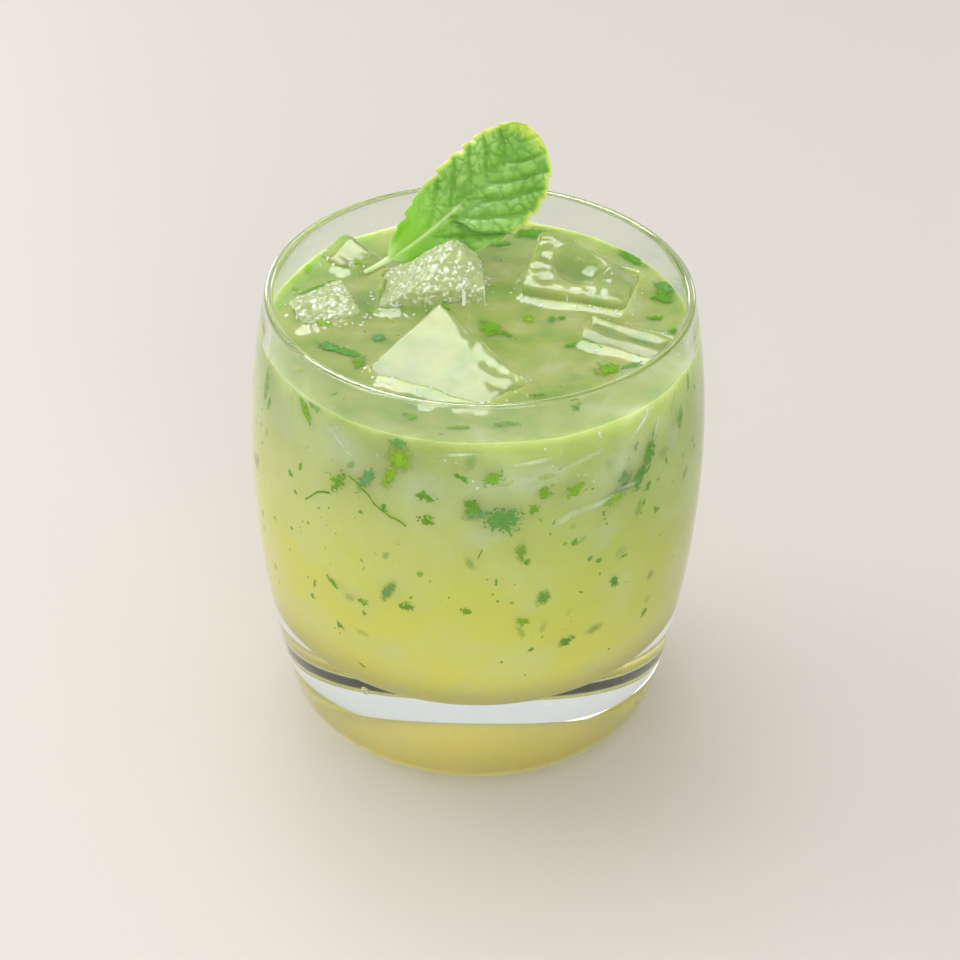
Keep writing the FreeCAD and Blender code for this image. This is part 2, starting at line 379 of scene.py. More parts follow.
def in_ice(x, y):
    """Whether a point of the surface lies inside a lump."""
    for node, tree in trees.items():
        start, count = Vector((x, y, LEVEL)), 0
        while count < MOST_CROSSINGS:
            hit = tree.ray_cast(start, Vector((0, 0, 1)))
            if hit[0] is None:
                break
            count += 1
            start = hit[0] + Vector((0, 0, 0.02 * MM))
        if count % 2:
            return True
    return False


def surface_height(x, y):
    """Height of the wet surface: swells, and a climb at the wall and round each lump."""
    r = math.hypot(x, y)
    gap = wet_edges.find((x, y, 0))[2]
    climb = MENISCUS * math.exp(-(drink_r - r) / MENISCUS_W)
    swell = SURFACE_SWELL * noise.noise(Vector((x, y, 0)) / (9 * MM))
    swell += SURFACE_RIPPLE * noise.noise(Vector((x, y, 1)) / (3 * MM))
    if gap < NEAR_ICE and in_ice(x, y):
        return LEVEL + ICE_CLIMB - min(gap / POCKET_W, 1) * POCKET
    return LEVEL + climb + swell + ICE_CLIMB * math.exp(-gap / ICE_CLIMB_W)


vertices = [(0, 0, surface_height(0, 0))]
for ring in range(1, SURFACE_RINGS + 1):
    share = ring / SURFACE_RINGS
    r = drink_r * (1 - (1 - share) ** RING_CROWDING) if ring < SURFACE_RINGS else drink_r
    for k in range(DRINK_STEPS):
        a = 2 * math.pi * k / DRINK_STEPS
        x, y = r * math.cos(a), r * math.sin(a)
        vertices.append((x, y, surface_height(x, y)))
for r, z in inner[-2:0:-1]:
    for k in range(DRINK_STEPS):
        a = 2 * math.pi * k / DRINK_STEPS
        vertices.append((r * math.cos(a), r * math.sin(a), z))
vertices.append((0, 0, inner[0][1]))
rings = (len(vertices) - 2) // DRINK_STEPS
faces = []
wet = []
for k in range(DRINK_STEPS):
    n = (k + 1) % DRINK_STEPS
    faces.append((0, 1 + k, 1 + n))
    wet.append(True)
    for row in range(rings - 1):
        a, b = 1 + row * DRINK_STEPS, 1 + (row + 1) * DRINK_STEPS
        faces.append((a + k, b + k, b + n, a + n))
        wet.append(row < SURFACE_RINGS - 1)
    a = 1 + (rings - 1) * DRINK_STEPS
    faces.append((a + n, a + k, len(vertices) - 1))
    wet.append(False)


def drink_colour(material):
    """Colour of the drink at a place: greener and paler at the top, yellow below, with clouds; painted shade
    darkens the top layer and the right side.
    """
    place = put(material, "TexCoord").outputs["Object"]
    apart = put(material, "SeparateXYZ", {0: place})
    share = put(material, "MapRange", {0: apart.outputs["Z"], 1: BASE, 2: LEVEL})
    # Yellow below and greener above; the last stop is painted shade that darkens the layer just under the
    # surface.
    height_tone_and_painted_top_shade = put(material, "ValToRGB", {0: share}, stops=[
        (0.0, "#EEDE92"), (0.2, "#EADF72"), (0.55, "#DCDA70"),
        (0.78, "#CACE82"), (0.9, "#BCC284"), (1.0, "#98A262")])
    # Painted shade: the right side, away from the lamps, is mixed darker and greener, more so higher up.
    side = put(material, "MapRange", {0: apart.outputs["X"], 1: -0.5 * BELLY_R, 2: BELLY_R, 4: 0.55})
    raised = put(material, "MapRange", {0: share, 1: 0.15, 2: 0.6, 3: 0.2, 4: 1.0})
    part = put(material, "Math", {0: side, 1: raised}, operation="MULTIPLY")
    greener = put(material, "MixRGB", {0: part, 1: height_tone_and_painted_top_shade, 2: "#A5BC50"})
    clouds = put(material, "TexNoise", {"Vector": place, "Scale": 90.0, "Detail": 3.0, "Roughness": 0.5})
    cloud = put(material, "MapRange", {0: clouds, 1: 0.42, 2: 0.72, 3: 0.0, 4: 0.45})
    return put(material, "MixRGB", {0: cloud, 1: greener, 2: "#D3DBA8"}), share


# Cloudy drink: light scatters over a centimetre or so.  The last layer over the base has a painted
# yellow glow for the light that comes up through the thick glass, which gathers light from the table.
SCATTER = (12.0 * MM, 13.0 * MM, 6.0 * MM)
cloudy = new_material("cloudy_lime_drink")
colour, share = drink_colour(cloudy)
# Painted glow in the lowest layer of the drink, fading out just above the base.
painted_base_glow = put(cloudy, "MapRange", {0: share, 1: 0.0, 2: 0.06, 3: 0.22, 4: 0.0})
body = put(cloudy, "BsdfPrincipled", {
    "Base Color": colour, "Roughness": 0.5, "IOR": 1.33, "Specular IOR Level": 0.0,
    "Subsurface Weight": 1.0, "Subsurface Radius": SCATTER, "Subsurface Scale": 1.0,
    "Emission Color": "#D8C41E", "Emission Strength": painted_base_glow})
put(cloudy, "OutputMaterial", {"Surface": body})

# Its open surface: the same drink, wet and smooth, with crushed ice just under it that
# shows as paler and greener patches.
wet_top = new_material("wet_lime_surface")
colour, share = drink_colour(wet_top)
place = put(wet_top, "TexCoord").outputs["Object"]
slush = put(wet_top, "TexNoise", {
    "Vector": place, "Scale": 95.0, "Detail": 4.0, "Roughness": 0.55, "Distortion": 0.3})
patches = put(wet_top, "ValToRGB", {0: slush}, stops=[
    (0.34, "#82A052"), (0.46, "#9BAE5E"), (0.56, "#AEB46A"), (0.68, "#B6C490")])
settled = put(wet_top, "MixRGB", {0: 0.8, 1: colour, 2: patches})
body = put(wet_top, "BsdfPrincipled", {
    "Base Color": settled, "Roughness": 0.06, "IOR": 1.33,
    "Subsurface Weight": 1.0, "Subsurface Radius": SCATTER, "Subsurface Scale": 0.5})
put(wet_top, "OutputMaterial", {"Surface": body})

drink = new_piece("drink", vertices, faces, [cloudy, wet_top])
drink.data.polygons.foreach_set("material_index", [1 if w else 0 for w in wet])
rim_start = 1 + (SURFACE_RINGS - 1) * DRINK_STEPS
on_rim = range(rim_start, rim_start + DRINK_STEPS)
for edge in drink.data.edges:
    if edge.vertices[0] in on_rim and edge.vertices[1] in on_rim:
        edge.use_edge_sharp = True
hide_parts("drink")
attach(drink, "root")


# Mint leaf.
# One fresh leaf with its stalk dipped in the drink, leaning back over the ice.  The
# blade is thin and quilted: its veins are drawn in and the skin swells up between them.

STALK_LEN = 6.0 * MM
STALK_R = 1.0 * MM
FILL_LEFT = 1.15
FILL_RIGHT = 1.7
BLADE_LEN = 38.0 * MM
BLADE_LEFT = 8.3 * MM
BLADE_RIGHT = 12.0 * MM
BLADE_T = 0.45 * MM
BLADE_TURN = math.radians(60)
HEADING = (44.0, 27.0, 14.0)
CLIMB = (0.0, 22.0, 60.0)
STALK_AT = Vector((-0.565 * drink_r, 0.440 * drink_r, LEVEL + 0.4 * MM))
STALK_STEPS = 30
BLADE_STEPS = 190
ACROSS_STEPS = 60
TEETH = 11
TOOTH = 1.0 * MM
VEIN_GAP = 5.0 * MM
VEIN_DRAW = 0.3 * MM
QUILT = 0.6 * MM
CRINKLE = 2.3 * MM
NET_DRAW = 0.22 * MM
MIDRIB_DRAW = 0.3 * MM
VEIN_W = 0.36 * MM
MIDRIB_W = 0.32 * MM
CREASE = 1.5 * MM
CREASE_AT = 13.0 * MM
WAVE = 0.5 * MM


def smooth_step(low, high, value):
    """Eases from 0 at low to 1 at high; low may be the larger of the two."""
    t = min(max((value - low) / (high - low), 0.0), 1.0)
    return t * t * (3 - 2 * t)


def blend(values, t):
    """Value at t, 0 at the stalk's end, 1 at the blade's base and 2 at the tip."""
    first = min(int(t), 1)
    return values[first] + (values[first + 1] - values[first]) * (t - first)


def half_width(reach, t, side):
    """Half width of the blade at t from its base to its tip, with blunt uneven teeth."""
    plain = reach * max(math.sin(math.pi * t ** (FILL_RIGHT if side > 0 else FILL_LEFT)), 0.0) ** 0.45
    at = t * TEETH + 0.35 * side + 0.3 * math.sin(9 * t + side)
    part = at % 1.0
    tooth = TOOTH * (0.75 + 0.9 * noise.noise(Vector((math.floor(at) * 1.7, side * 5, 0.3)))) * part ** 1.5
    return max(plain - tooth * min(6 * t, 1.0, 12 * (1 - t)), STALK_R * 0.55 * (1 - 0.9 * t))


def quilt_height(along, across, width):
    """How far the skin stands over the flat blade, how dark its veins are and how near the midrib is."""
    away = abs(across)
    drift = 1.1 * MM * noise.noise(Vector((along, across, 2 * MM)) / (5 * MM))
    at = (along - 1.05 * away - 10.0 * away ** 2 + drift + (1.4 * MM if across > 0 else 0)) / VEIN_GAP
    part = at - math.floor(at)
    to_vein = min(part, 1 - part) * VEIN_GAP * 0.7
    side_vein = math.exp(-(to_vein / VEIN_W) ** 2)
    midrib = math.exp(-(away / MIDRIB_W) ** 2)
    place = Vector((along, across, 0)) / CRINKLE
    place += 0.45 * Vector((noise.noise(place * 1.3), noise.noise(place * 1.3 + Vector((5, 5, 5))), 0))
    near = noise.voronoi(place, distance_metric="DISTANCE")[0]
    net = math.exp(-((near[1] - near[0]) / 0.14) ** 2)
    edge = smooth_step(0.0, 1.0 * MM, width - away)
    crisp = smooth_step(6 * MM, 15 * MM, along + 0.4 * across)
    swell = QUILT * math.sin(math.pi * part) * smooth_step(0, 2.5 * MM, away) * edge
    swell += 0.35 * MM * min(near[0], 0.6) * -edge
    height = crisp * (swell - VEIN_DRAW * side_vein * edge - NET_DRAW * net * edge) - MIDRIB_DRAW * midrib
    darkness = max(0.62 * side_vein, 0.5 * net) * edge * crisp
    return height, darkness, midrib * (1 - smooth_step(15 * MM, 20 * MM, along))


def fold_step(along, across):
    """The crease that runs out from the midrib on the broad side, with the flap under it sitting lower, and
    the painted shade along the crease and in the hollow by the midrib.
    """
    if across <= 0.5 * MM:
        return 0.0, 0.0
    away = along - (CREASE_AT + 0.62 * across + 0.5 * MM * math.sin(across / (1.3 * MM)))
    out = smooth_step(0.6 * MM, 2 * MM, across)
    hollow = math.exp(-((across - 0.9 * MM - 0.22 * (along - 13 * MM)) / (0.7 * MM)) ** 2)
    hollow *= smooth_step(13 * MM, 15 * MM, along) * (1 - smooth_step(20 * MM, 27 * MM, along))
    if away > 0:
        swell = CREASE * math.exp(-away / (6 * MM)) * smooth_step(0, 0.5 * MM, away)
        return out * swell - 0.8 * MM * hollow, max(0.6 * hollow, out * math.exp(-away / (0.25 * MM)))
    return -out * CREASE * math.exp(away / (2.6 * MM)), out * math.exp(away / (0.9 * MM))


stations = [i / STALK_STEPS for i in range(STALK_STEPS)]
stations += [1 + i / BLADE_STEPS for i in range(BLADE_STEPS + 1)]
place = STALK_AT.copy()
leaf_points = []
leaf_tones = []
before = 0.0
for t in stations:
    heading, climb = math.radians(blend(HEADING, t)), math.radians(blend(CLIMB, t))
    flat = math.cos(climb)
    ahead = Vector((math.cos(heading) * flat, math.sin(heading) * flat, math.sin(climb)))
    place = place + ahead * (t - before) * (STALK_LEN if t <= 1 else BLADE_LEN)
    before = t
    side = Vector((math.sin(heading), -math.cos(heading), 0))
    up = side.cross(ahead)
    turn = BLADE_TURN * min(t, 1)
    right = side * math.cos(turn) - up * math.sin(turn)
    face = right.cross(ahead)
    opened = smooth_step(0.93, 1.12, t)
    along = max(t - 1, 0) * BLADE_LEN
    for skin in (1, -1):
        for i in range(ACROSS_STEPS + 1):
            share = (2 * i / ACROSS_STEPS - 1) * skin
            if t < 1:
                across = STALK_R * (0.4 + 0.25 * t) * share
                width = STALK_R
            else:
                width = half_width(BLADE_RIGHT if share > 0 else BLADE_LEFT, t - 1, 1 if share > 0 else -1)
                across = width * share
            stalk_rise = skin * STALK_R * 0.5 * math.sqrt(max(1 - share ** 2, 0))
            quilt, vein, midrib = quilt_height(along, across, width)
            crease, shade = fold_step(along, across)
            curl = 0.10 * abs(across) - 9.0 * across ** 2 * (1 if across > 0 else 0.3)
            wave = WAVE * math.sin(along / (2.6 * MM) + 2 * (across > 0)) * smooth_step(0.6, 1, abs(share))
            blade_rise = quilt + crease + curl + wave + skin * BLADE_T / 2 * math.sqrt(max(1 - share ** 6, 0))
            if skin < 0:
                blade_rise -= 0.7 * MM * midrib
            rise = stalk_rise * (1 - opened) + blade_rise * opened
            leaf_points.append(place + right * across + face * rise)
            # Painted light: the thin margin and the tip are painted yellow-green, where light comes through.
            rim = smooth_step(1.3 * MM, 0.2 * MM, width - abs(across)) * smooth_step(0.25, 0.6, t - 1)
            rim *= 1.0 if share * skin < 0 else smooth_step(0.45, 0.7, t - 1)
            tip = smooth_step(0.90, 1.0, t - 1)
            # Painted light: near the base the blade is painted a bright yellow-green, where light comes
            # through.
            near_base = 1 - smooth_step(0.15, 0.45, t - 1 + 8.0 * across)
            rib = max(midrib * opened, 1 - opened)
            # The first tone is the veins' own dark together with the painted shade of the crease and the
            # hollow.
            leaf_tones.append((max(vein * opened, shade), max(rim, tip), rib, near_base))

ring = 2 * (ACROSS_STEPS + 1)
leaf_faces = []
for start in range(0, (len(stations) - 1) * ring, ring):
    for i in range(ring):
        n = (i + 1) % ring
        leaf_faces.append((start + i, start + n, start + ring + n, start + ring + i))
leaf_faces += [tuple(range(ring))[::-1], tuple(range((len(stations) - 1) * ring, len(stations) * ring))]


# Fresh mint: waxy green, darker along the fine veins and with painted shade along the crease,
# pale along the midrib, and painted yellow-green at the thin margin and near the base, where light comes
# through.
mint = new_material("fresh_mint_leaf")
tones = put(mint, "VertexColor", layer_name="leaf_tones")
split = put(mint, "SeparateColor", {0: tones})
place = put(mint, "TexCoord").outputs["Object"]
patches = put(mint, "TexNoise", {"Vector": place, "Scale": 160.0, "Detail": 4.0})
ground = put(mint, "ValToRGB", {0: patches}, stops=[(0.3, "#7CB140"), (0.7, "#A2CC68")])
painted_light_through = put(mint, "MixRGB", {0: tones.outputs["Alpha"], 1: ground, 2: "#82BE14"})
# Darker along the veins, and painted shade along the crease and in the hollow.
veins_and_painted_crease_shade = put(mint, "MixRGB", {0: split.outputs[0], 1: painted_light_through, 2: "#4F8E1C"})
rimmed = put(mint, "MixRGB", {0: split.outputs[1], 1: veins_and_painted_crease_shade, 2: "#CADB5C"})
ribbed = put(mint, "MixRGB", {0: split.outputs[2], 1: rimmed, 2: "#CFE59A"})
fine = put(mint, "TexNoise", {"Vector": place, "Scale": 1800.0, "Detail": 2.0})
relief = put(mint, "Bump", {"Strength": 0.35, "Distance": 0.12 * MM, "Height": fine})
skin = put(mint, "BsdfPrincipled", {
    "Base Color": ribbed, "Roughness": 0.42, "IOR": 1.45, "Subsurface Weight": 0.25,
    "Subsurface Radius": (0.6 * MM, 1.2 * MM, 0.3 * MM), "Subsurface Scale": 1.0,
    "Sheen Weight": 0.25, "Sheen Roughness": 0.4, "Normal": relief})
put(mint, "OutputMaterial", {"Surface": skin})

leaf = new_piece("mint_leaf_blade", leaf_points, leaf_faces, [mint])
tone_layer = leaf.data.color_attributes.new("leaf_tones", "FLOAT_COLOR", "POINT")
tone_layer.data.foreach_set("color", [c for tone in leaf_tones for c in tone])
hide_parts("mint_leaf")
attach(leaf, "root")


# Chopped mint in the drink.
# Torn scraps and threads of bruised mint.  The near ones lie against the glass and are
# sharp; the deeper ones are veiled by the drink, so they are pale with soft edges.

SMALL_SCRAPS = 360
VEILED_SCRAPS = 90
SURFACE_SCRAPS = 60
SCRAP_SIDES = 14
FADE_ROOM = 1.9
THREAD_STEPS = 6
SEED = 11
rng = random.Random(SEED)


def wall_radius(z):
    """Radius at which the drink meets the glass."""
    if z > BELLY_Z:
        return inner_c[0] + math.sqrt((inner_r + INTO_WALL) ** 2 - (z - BELLY_Z) ** 2)
    if z > corner_c[1] + FLOOR_CORNER * math.sin(angle_from(lower_c, corner_c)):
        return lower_c[0] + math.sqrt((lower_r - WALL + INTO_WALL) ** 2 - (z - BELLY_Z) ** 2)
    return corner_c[0] + math.sqrt(max((FLOOR_CORNER + INTO_WALL) ** 2 - (z - corner_c[1]) ** 2, 0))


def on_wall(azimuth, z, lift):
    """Point on the drink's side; azimuth 0 faces the front and grows to the right."""
    r = wall_radius(z) + lift
    return Vector((r * math.sin(azimuth), -r * math.cos(azimuth), z))


def on_surface(x, y):
    """Point of the wet surface; a scrap that meets ice or the wall bends up against it."""
    r = math.hypot(x, y)
    if r > drink_r - 0.3 * MM:
        x, y = x * (drink_r - 0.3 * MM) / r, y * (drink_r - 0.3 * MM) / r
    height = surface_height(x, y)
    for tree in trees.values():
        hit = tree.ray_cast(Vector((x, y, LEVEL + 30 * MM)), Vector((0, 0, -1)))
        if hit[0] is not None and hit[0].z > height:
            height = hit[0].z
    return Vector((x, y, height + 0.12 * MM))


def new_pile():
    return {"points": [], "faces": [], "tones": []}


def add_scrap(pile, spot, length, width, turn, tone, soft, strength):
    """Flat scrap that fades to its rim; spot maps a place on it to the drink."""
    start, count = len(pile["points"]), SCRAP_SIDES
    across = [(0, 0, 1.0)]
    for share, fill in ((0.5, 0.5), (1.0, 0.0)):
        across += [(0.5 * length * share * math.cos(a), 0.5 * width * share * math.sin(a), fill)
                   for a in [2 * math.pi * k / count for k in range(count)]]
    for x, y, fill in across:
        pile["points"].append(spot(x * math.cos(turn) - y * math.sin(turn),
                                   x * math.sin(turn) + y * math.cos(turn)))
        pile["tones"].append((tone, fill, soft, strength))
    for k in range(count):
        a, b, n = start + 1, start + 1 + count, (k + 1) % count
        pile["faces"].append((start, a + k, a + n))
        pile["faces"].append((a + k, b + k, b + n, a + n))


def wall_scrap(pile, azimuth, z, length, width, turn, tone, soft, strength):
    """Scrap against the glass; azimuth and turn in degrees, sizes as they show."""
    lift = rng.uniform(0.06, 0.14) * MM
    middle = math.radians(azimuth)
    add_scrap(pile, lambda x, y: on_wall(middle + x / BELLY_R, min(max(z + y, BASE + MM), LEVEL), lift),
              FADE_ROOM * length, FADE_ROOM * width, math.radians(turn), tone, soft, strength)


def wall_thread(pile, places, width, tone):
    """Thin stem that bends from place to place (azimuth in degrees, height in millimetres)."""
    line = []
    for (a0, z0), (a1, z1) in zip(places, places[1:]):
        for i in range(THREAD_STEPS):
            line.append((a0 + (a1 - a0) * i / THREAD_STEPS, z0 + (z1 - z0) * i / THREAD_STEPS))
    start = len(pile["points"])
    for i, (a, z) in enumerate(line):
        wander = noise.noise(Vector((a / 3, z / 3, 1)))
        half = width / 2 * (0.6 + 0.5 * abs(math.sin(i * 1.7)))
        for side in (-1, 1):
            at = on_wall(math.radians(a + 0.8 * wander), z * MM + 0.6 * MM * wander + side * half, 0.1 * MM)
            pile["points"].append(at)
            pile["tones"].append((tone, 1.0, 0.0, 1.0))
    for i in range(len(line) - 1):
        a = start + 2 * i
        pile["faces"].append((a, a + 1, a + 3, a + 2))


def pile_piece(name, pile, material):
    piece = new_piece(name, pile["points"], pile["faces"], [material])
    layer = piece.data.color_attributes.new("scrap_tones", "FLOAT_COLOR", "POINT")
    layer.data.foreach_set("color", [c for tone in pile["tones"] for c in tone])
    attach(piece, "root")
    return piece


# The larger scraps at the front: azimuth, height, length, width (mm), turn, tone (0 is
# blue-green and 1 is yellow-green), softness and strength.  A scrap's disc is FADE_ROOM
# times the size that shows, as its rim fades out.
green = new_pile()
for az, z, length, width, turn, tone, soft, strength in (
        (-69, 80, 7.5, 1.8, 86, 0.70, 0.10, 1.0), (-66, 77, 3.5, 1.0, 75, 0.60, 0.10, 1.0),
        (-49, 82, 5.0, 2.0, -48, 0.75, 0.08, 1.0), (-46, 84, 3.4, 1.6, -10, 0.10, 0.5, 0.9),
        (-19.5, 80, 4.6, 4.2, 0, 0.85, 0.8, 1.0), (-22, 76, 5.0, 2.4, 65, 0.85, 0.6, 0.9),
        (-20, 83, 3.4, 1.8, 5, 0.15, 0.4, 0.9), (-28, 74.5, 4.4, 2.2, 60, 0.10, 0.35, 1.0),
        (-36, 71.5, 4.8, 2.0, 58, 0.65, 0.08, 1.0), (-13, 73.5, 3.0, 1.6, -12, 0.60, 0.1, 1.0),
        (-12, 68.5, 2.6, 1.6, 0, 0.55, 0.1, 1.0), (-4, 78, 2.8, 1.0, -20, 0.4, 0.1, 1.0),
        (-1, 72, 2.6, 2.2, -60, 0.6, 0.1, 1.0), (4, 78, 3.6, 2.2, 20, 0.75, 0.15, 1.0),
        (6.5, 69.5, 6.4, 4.2, 4, 0.22, 0.12, 1.0), (0, 70.5, 4.4, 2.0, 10, 0.05, 0.8, 0.8),
        (17, 74, 2.0, 2.4, 70, 0.75, 0.06, 1.0), (14, 71, 2.0, 1.4, 40, 0.7, 0.1, 1.0),
        (25, 73.5, 3.8, 2.0, 18, 0.8, 0.06, 1.0), (36, 69, 4.2, 2.0, 20, 0.85, 0.06, 1.0),
        (48, 75, 6.0, 2.4, 68, 0.40, 0.15, 1.0), (44, 71, 5.0, 2.2, 60, 0.30, 0.3, 1.0),
        (39, 72, 2.8, 2.2, 0, 0.15, 0.6, 0.7), (47, 68, 2.4, 1.2, 40, 0.75, 0.1, 1.0),
        (62, 77, 3.6, 2.0, 80, 0.6, 0.5, 0.9), (68, 82, 3.0, 1.2, 80, 0.6, 0.1, 1.0),
        (-38, 48, 3.4, 1.0, -28, 0.7, 0.1, 1.0), (-29, 46.5, 1.8, 1.8, 0, 0.8, 0.2, 1.0),
        (-22, 51, 5.0, 1.8, 62, 0.15, 0.6, 0.9), (-17, 48.5, 2.8, 1.6, 8, 0.6, 0.3, 1.0),
        (-2, 49, 1.9, 1.4, 10, 0.65, 0.15, 1.0), (12, 46, 1.9, 1.6, 0, 0.8, 0.1, 1.0),
        (24, 39, 3.0, 2.0, 20, 0.5, 0.35, 1.0), (17, 51, 3.2, 2.4, 60, 0.3, 0.7, 0.9),
        (37, 50, 1.8, 2.6, 10, 0.5, 0.3, 1.0), (11, 62, 1.8, 3.2, 0, 0.6, 0.6, 0.9)):
    wall_scrap(green, az, z * MM, length * MM, width * MM, turn, tone, soft, strength)
for places, width, tone in (
        (((-47, 64), (-43, 67), (-38, 68.5)), 0.5, 0.55),
        (((-33, 74), (-28, 71.5), (-24, 69), (-16, 66)), 0.55, 0.75),
        (((-31, 73.5), (-29.5, 69)), 0.5, 0.6), (((8, 67.5), (9, 65.5)), 0.6, 0.5),
        (((-69, 83), (-70, 74)), 0.4, 0.6), (((1.5, 63), (0.5, 61)), 0.7, 0.5),
        (((60, 83), (57, 79)), 0.35, 0.4), (((66, 80), (67, 76)), 0.4, 0.5)):
    wall_thread(green, places, width * MM, tone)

for _ in range(SMALL_SCRAPS):
    size = (0.35 + 1.5 * rng.random() ** 3) * MM
    wall_scrap(green, rng.uniform(-180, 180), rng.triangular(24, 83, 70) * MM, size,
               size * rng.uniform(0.3, 0.9), rng.uniform(0, 180), rng.uniform(0.35, 0.9),
               rng.uniform(0.05, 0.4), rng.uniform(0.7, 1))
for _ in range(VEILED_SCRAPS):
    size = rng.uniform(1.2, 3.8) * MM
    wall_scrap(green, rng.uniform(-180, 180), rng.triangular(28, 83, 70) * MM, size,
               size * rng.uniform(0.4, 0.9), rng.uniform(0, 180), rng.uniform(0.1, 0.8),
               rng.uniform(0.6, 1), rng.uniform(0.15, 0.5))
# Scraps that float: place, length, width (mm), turn, tone and softness.
for x, y, length, width, turn, tone, soft in (
        (-31.5, 11.5, 5.0, 1.6, 40, 0.5, 0.15), (-33.7, 19, 2.6, 1.2, 80, 0.7, 0.1),
        (-24.2, 20.4, 1.6, 1.4, 0, 0.8, 0.1), (-26, 28.9, 1.2, 1.2, 0, 0.6, 0.1),
        (10, 34.5, 6.0, 3.0, 15, 0.45, 0.2), (2, -1.7, 3.4, 4.4, 20, 0.65, 0.08),
        (5, -3.5, 3.0, 1.0, -40, 0.45, 0.1), (23.7, -15.2, 4.4, 3.4, 10, 0.7, 0.15),
        (28, -14, 3.4, 1.2, 25, 0.2, 0.2), (35.2, 10.6, 3.4, 4.0, 20, 0.5, 0.15),
        (33.3, 3, 3.0, 1.4, 10, 0.55, 0.1), (-28.1, -8.9, 4.0, 2.2, -30, 0.15, 0.4),
        (-25, -10.6, 7.0, 2.2, -25, 0.25, 0.3), (-29, -2, 3.0, 1.6, -10, 0.8, 0.1),
        (-18.8, -5.8, 2.6, 2.2, -50, 0.1, 0.5), (-22, -14.8, 2.4, 3.0, 20, 0.6, 0.15),
        (-1.7, -8.1, 1.2, 0.9, 0, 0.4, 0.1), (16.9, -7.5, 2.6, 0.9, 10, 0.3, 0.2),
        (15.3, 2.5, 2.4, 0.8, 0, 0.4, 0.3), (11, -24.5, 2.4, 0.9, 10, 0.4, 0.2),
        (36.5, -2, 2.4, 1.2, 60, 0.5, 0.15), (30, 25, 6.0, 3.0, -60, 0.35, 0.3),
        (36, 14, 5.0, 3.0, -40, 0.2, 0.6), (4, 30, 4.0, 1.6, 20, 0.3, 0.3),
        (-3, -34.5, 3.6, 1.0, 5, 0.6, 0.1), (-12, -31, 2.6, 1.4, -30, 0.6, 0.2),
        (6, -33, 3.0, 1.0, -10, 0.5, 0.2)):
    add_scrap(green, lambda dx, dy: on_surface(x * MM + dx, y * MM + dy), FADE_ROOM * length * MM,
              FADE_ROOM * width * MM, math.radians(turn), tone, soft, 1.0)
for _ in range(SURFACE_SCRAPS):
    r, a = drink_r * 0.97 * math.sqrt(rng.random()), rng.uniform(0, 2 * math.pi)
    x, y = r * math.cos(a), r * math.sin(a)
    size = (0.5 + 2.4 * rng.random() ** 2.6) * MM
    length = FADE_ROOM * size
    width = FADE_ROOM * size * rng.uniform(0.3, 0.7)
    turn = rng.uniform(0, math.pi)
    tone, soft, strength = rng.uniform(0.2, 0.9), rng.choice((0.1, 0.15, 0.7)), rng.uniform(0.6, 1)
    if not in_ice(x, y):
        add_scrap(green, lambda dx, dy: on_surface(x + dx, y + dy), length, width, turn, tone, soft, strength)


def torn_mask(material, softness, strength, fill, scale):
    """Share of the scrap that is there: ragged by fine noise, with a sharp or a soft edge."""
    place = put(material, "TexCoord").outputs["Object"]
    ragged = put(material, "TexNoise", {"Vector": place, "Scale": scale, "Detail": 3.0, "Roughness": 0.65})
    wobble = put(material, "MapRange", {0: ragged, 1: 0.3, 2: 0.7, 3: -0.48, 4: 0.48})
    calm = put(material, "MapRange", {0: softness, 3: 1.0, 4: 0.25})
    wobble = put(material, "Math", {0: wobble, 1: calm}, operation="MULTIPLY")
    height = put(material, "Math", {0: fill, 1: wobble}, operation="ADD")
    low = put(material, "MapRange", {0: softness, 3: 0.46, 4: 0.12})
    high = put(material, "MapRange", {0: softness, 3: 0.52, 4: 1.0})
    there = put(material, "MapRange", {0: height, 1: low, 2: high}, interpolation_type="SMOOTHSTEP")
    return put(material, "Math", {0: there, 1: strength}, operation="MULTIPLY")


# Bruised mint: darker and yellower than the fresh leaf; under the drink it turns bluish.
chopped = new_material("chopped_mint")
tones = put(chopped, "VertexColor", layer_name="scrap_tones")
split = put(chopped, "SeparateColor", {0: tones})
place = put(chopped, "TexCoord").outputs["Object"]
grain = put(chopped, "TexNoise", {"Vector": place, "Scale": 1400.0, "Detail": 3.0})
ground = put(chopped, "ValToRGB", {0: split.outputs[0]}, stops=[
    (0.0, "#6BA56A"), (0.3, "#589A24"), (0.5, "#5C9800"), (0.75, "#7AAA00"), (1.0, "#A6C800")])
darker = put(chopped, "MapRange", {0: grain, 1: 0.45, 2: 0.65, 3: 0.0, 4: 0.45})
mottled = put(chopped, "MixRGB", {0: darker, 1: ground, 2: "#447600"})
flesh = put(chopped, "BsdfPrincipled", {"Base Color": mottled, "Roughness": 0.5, "Specular IOR Level": 0.1})
clear = put(chopped, "BsdfTransparent")
there = torn_mask(chopped, split.outputs[2], tones.outputs["Alpha"], split.outputs[1], 1200.0)
show = put(chopped, "MixShader", {0: there, 1: clear, 2: flesh})
put(chopped, "OutputMaterial", {"Surface": show})
pile_piece("chopped_mint", green, chopped)


# Sunk ice.
# Under the surface the lumps show through the cloudy drink only as pale soft patches
# and as thin gleams along their edges, which are painted highlights.

PATCHES_AROUND = 26
ICE_BUBBLE_GLINTS = 1500
WALL_BUBBLE_GLINTS = 170
BUBBLE_REACH = 2.5 * MM
pale = new_pile()
